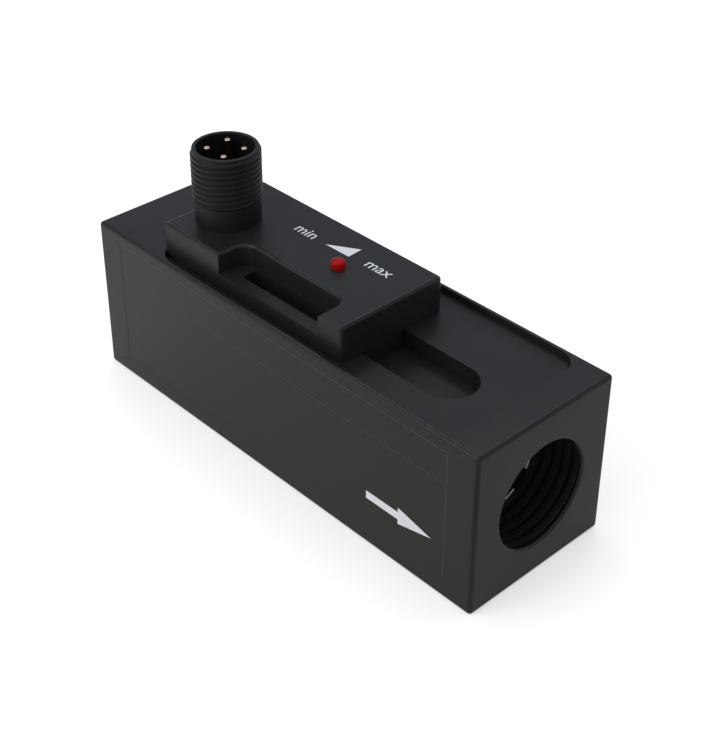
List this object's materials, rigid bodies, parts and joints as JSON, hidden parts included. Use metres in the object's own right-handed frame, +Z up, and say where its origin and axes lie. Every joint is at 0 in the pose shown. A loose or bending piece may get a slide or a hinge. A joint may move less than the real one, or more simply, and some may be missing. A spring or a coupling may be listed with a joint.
{
  "type": "piston flow switch",
  "caption": "Square metal block with a threaded flow bore, a spring-loaded magnetic piston inside, and a sliding switching head on top with a round plug connector and a lamp.",
  "frame": {"origin": "middle of the block's underside", "axes": "+X along the flow from inlet to outlet, +Y away from the label side, +Z up towards the head"},
  "size_m": [0.0914, 0.03, 0.0489],
  "materials": {
    "block": "black anodised, satin",
    "label": "satin film",
    "brass": "turned",
    "steel": "bright",
    "piston_plastic": "moulded",
    "magnet": "sintered",
    "head_plastic": "fine-grained moulding",
    "seal_rubber": "matt",
    "board": "lacquered",
    "glass": "clear",
    "lead_metal": "tinned",
    "lamp": "clear red",
    "connector_plastic": "moulded",
    "contact_metal": "plated"
  },
  "bodies": {
    "block": {"body_block": "block", "rating_label": "label", "orifice_ring": "brass", "spring_seat": "brass", "retaining_ring": "steel", "piston_spring": "steel"},
    "piston_set": {"piston": "piston_plastic", "ring_magnet": "magnet", "rear_guide": "piston_plastic", "stem_clip": "steel"},
    "head": {"head_housing": "head_plastic", "head_base": "head_plastic", "base_seal": "seal_rubber", "circuit_board": "board", "reed_switch": "glass", "reed_leads": "lead_metal", "indicator_lamp": "lamp", "connector_shell": "connector_plastic", "connector_insert": "connector_plastic", "contact_pins": "contact_metal"}
  },
  "joints": [
    {"name": "head_slide", "type": "slide", "parent": "block", "child": "head", "axis": [1, 0, 0], "range_m": [0, 0.014]},
    {"name": "piston_slide", "type": "slide", "parent": "block", "child": "piston_set", "axis": [1, 0, 0], "range_m": [0, 0.022], "stiffness_N_per_m": 60, "springref_m": -0.01, "deforming": ["piston_spring"]}
  ]
}
